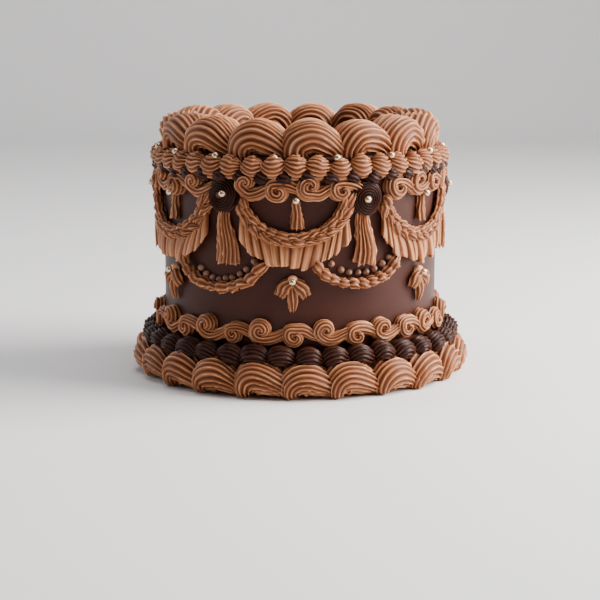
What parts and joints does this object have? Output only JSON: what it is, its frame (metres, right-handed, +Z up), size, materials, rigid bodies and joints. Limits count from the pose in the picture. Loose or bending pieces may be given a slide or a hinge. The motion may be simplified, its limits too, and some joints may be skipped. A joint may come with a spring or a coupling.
{
  "type": "chocolate cake",
  "caption": "Tall round chocolate cake with vintage piped buttercream: top swirls, shell and scroll borders, ruffled swags, tassels, rosettes and gold pearls.",
  "frame": {"origin": "centre of the cake's flat foot, on the cake's axis", "axes": "+Z up along the cake's axis, -Y towards the front, midway between two rosettes"},
  "size_m": [0.2018, 0.203, 0.1557],
  "materials": {
    "body_buttercream": "smooth dark chocolate buttercream, satin",
    "milk_buttercream": "milk chocolate buttercream, piped, satin",
    "dark_buttercream": "very dark chocolate buttercream, piped, slightly glossy",
    "gold_pearl": "pearlised pale gold sugar pearl"
  },
  "bodies": {
    "root": {"cake_body": "body_buttercream", "top_swirls": "milk_buttercream", "rim_shells": "milk_buttercream", "upper_scroll": "milk_buttercream", "lower_scroll": "milk_buttercream", "foot_shells": "milk_buttercream", "tassel_1": "milk_buttercream", "tassel_2": "milk_buttercream", "tassel_3": "milk_buttercream", "tassel_4": "milk_buttercream", "tassel_5": "milk_buttercream", "tassel_6": "milk_buttercream", "swag_1": "milk_buttercream", "swag_2": "milk_buttercream", "swag_3": "milk_buttercream", "swag_4": "milk_buttercream", "swag_5": "milk_buttercream", "swag_6": "milk_buttercream", "drop_1": "milk_buttercream", "drop_2": "milk_buttercream", "drop_3": "milk_buttercream", "drop_4": "milk_buttercream", "drop_5": "milk_buttercream", "drop_6": "milk_buttercream", "fleur_1": "milk_buttercream", "fleur_2": "milk_buttercream", "fleur_3": "milk_buttercream", "fleur_4": "milk_buttercream", "fleur_5": "milk_buttercream", "fleur_6": "milk_buttercream", "loop_2": "milk_buttercream", "loop_3": "milk_buttercream", "loop_5": "milk_buttercream", "loop_6": "milk_buttercream", "rim_dark_shells": "dark_buttercream", "dark_shells": "dark_buttercream", "rosette_1": "dark_buttercream", "rosette_2": "dark_buttercream", "rosette_3": "dark_buttercream", "rosette_4": "dark_buttercream", "rosette_5": "dark_buttercream", "rosette_6": "dark_buttercream"}
  },
  "joints": []
}
